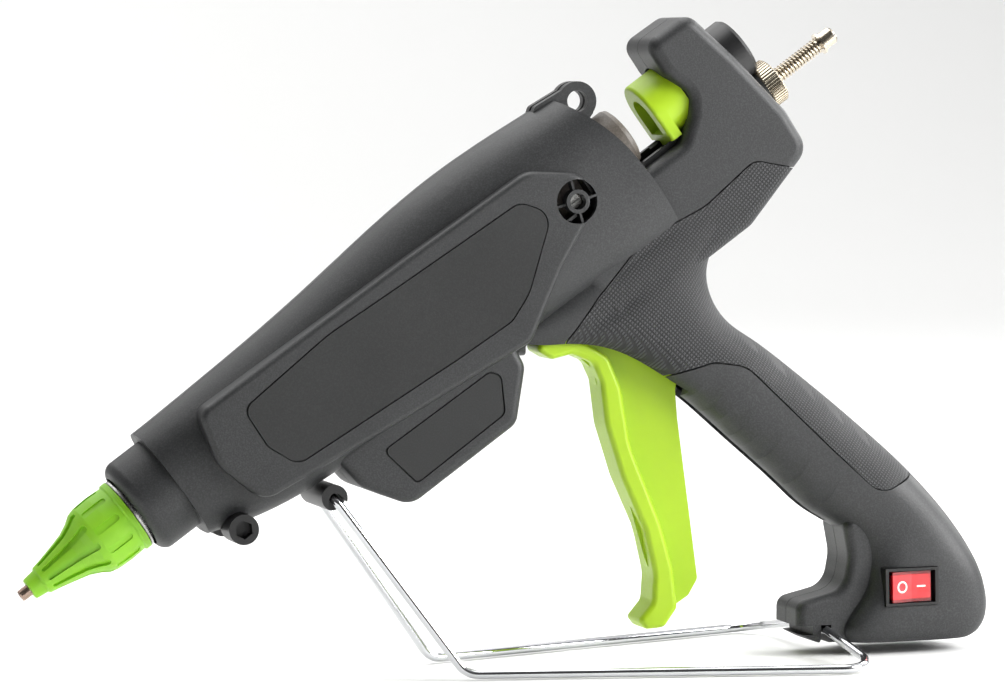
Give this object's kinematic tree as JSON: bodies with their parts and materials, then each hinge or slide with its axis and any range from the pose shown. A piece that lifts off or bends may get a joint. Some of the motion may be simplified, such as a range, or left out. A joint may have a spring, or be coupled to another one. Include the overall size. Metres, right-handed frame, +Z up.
{
  "type": "hot melt glue gun",
  "caption": "Trigger-feed hot melt glue gun with a silicone-covered nozzle, soft-grip handle, rocker switch and a fold-down wire stand.",
  "frame": {"origin": "on the floor plane under the middle of the length, from the nozzle tip to the back of the handle base, in the middle plane", "axes": "+X from the nozzle towards the handle base, +Z up, so -Y is the side with the rocker switch (the gun's left). The gun rests on its stand with the barrel 35 degrees above level."},
  "size_m": [0.3344, 0.1234, 0.2173],
  "materials": {
    "charcoal_nylon": "charcoal glass-filled nylon with a fine moulded grain",
    "badge_nylon": "charcoal nylon plate, finer grain",
    "grip_elastomer": "dark grey soft-touch elastomer with a diamond texture",
    "black_nylon": "black nylon",
    "lime_nylon": "lime green nylon, satin",
    "green_silicone": "bright green silicone",
    "steel": "bright zinc-plated steel",
    "nickel": "nickel-plated steel",
    "chrome_wire": "polished chrome-plated steel wire",
    "aluminium": "cast aluminium",
    "copper": "plated copper alloy",
    "grey_elastomer": "warm grey heat-proof elastomer",
    "red_rocker": "translucent red polycarbonate",
    "board": "green fibreglass circuit board",
    "ceramic": "off-white heater ceramic"
  },
  "bodies": {
    "gun": {"left_housing": "charcoal_nylon", "right_housing": "charcoal_nylon", "left_badge_plate": "badge_nylon", "right_badge_plate": "badge_nylon", "left_pod_plate": "badge_nylon", "right_pod_plate": "badge_nylon", "left_grip_skin": "grip_elastomer", "right_grip_skin": "grip_elastomer", "plugs": "black_nylon", "stand_bracket": "black_nylon", "housing_screws": "steel", "guide_screws": "steel", "nozzle_cover": "green_silicone", "nozzle": "copper", "front_ring": "steel", "melt_chamber": "aluminium", "heaters": "ceramic", "thermal_cutout": "black_nylon", "chamber_rings": "ceramic", "inlet_seal": "grey_elastomer", "front_guide": "grey_elastomer", "rear_guide": "black_nylon", "feed_tray": "black_nylon", "nut_washer": "black_nylon", "return_spring": "nickel", "switch_body": "black_nylon", "appliance_inlet": "black_nylon", "control_board": "board", "trigger_pin": "steel", "lever_pin": "steel", "wiring": "black_nylon"},
    "trigger": {"trigger": "lime_nylon"},
    "feed_lever": {"feed_lever": "steel"},
    "feed_slide": {"feed_carriage": "black_nylon", "gripper": "lime_nylon", "gripper_spring": "steel", "feed_rod": "nickel", "end_washer": "nickel", "end_nut": "nickel"},
    "adjuster": {"adjusting_nut": "nickel"},
    "rocker": {"rocker": "red_rocker"},
    "stand": {"wire_stand": "chrome_wire"}
  },
  "joints": [
    {"name": "trigger_squeeze", "type": "hinge", "parent": "gun", "child": "trigger", "pos_m": [0.01377, 0, 0.12486], "axis": [0, -1, 0], "range_deg": [0, 13.6], "stiffness_Nm_per_rad": 0.6, "springref_deg": -20.05},
    {"name": "lever_swing", "type": "hinge", "parent": "gun", "child": "feed_lever", "pos_m": [0.03896, 0, 0.12724], "axis": [0, -1, 0], "range_deg": [0, 27.21]},
    {"name": "feed_stroke", "type": "slide", "parent": "gun", "child": "feed_slide", "axis": [-0.8192, 0, -0.5736], "range_m": [0, 0.00941], "deforming": ["return_spring"]},
    {"name": "adjuster_turn", "type": "hinge", "parent": "gun", "child": "adjuster", "pos_m": [0.09458, 0, 0.19426], "axis": [0.8192, 0, 0.5736], "range_deg": [-180, 180]},
    {"name": "rocker_tilt", "type": "hinge", "parent": "gun", "child": "rocker", "pos_m": [0.1372, -0.0156, 0.0228], "axis": [0, 0, -1], "range_deg": [0, 14]},
    {"name": "stand_swing", "type": "hinge", "parent": "gun", "child": "stand", "pos_m": [-0.06314, 0, 0.06124], "axis": [0, 1, 0], "range_deg": [0, 30]}
  ],
  "couplings": [
    {"joint": "lever_swing", "follows": "trigger_squeeze", "ratio": 2},
    {"joint": "feed_stroke", "follows": "trigger_squeeze", "m_per_rad": 0.039601}
  ]
}
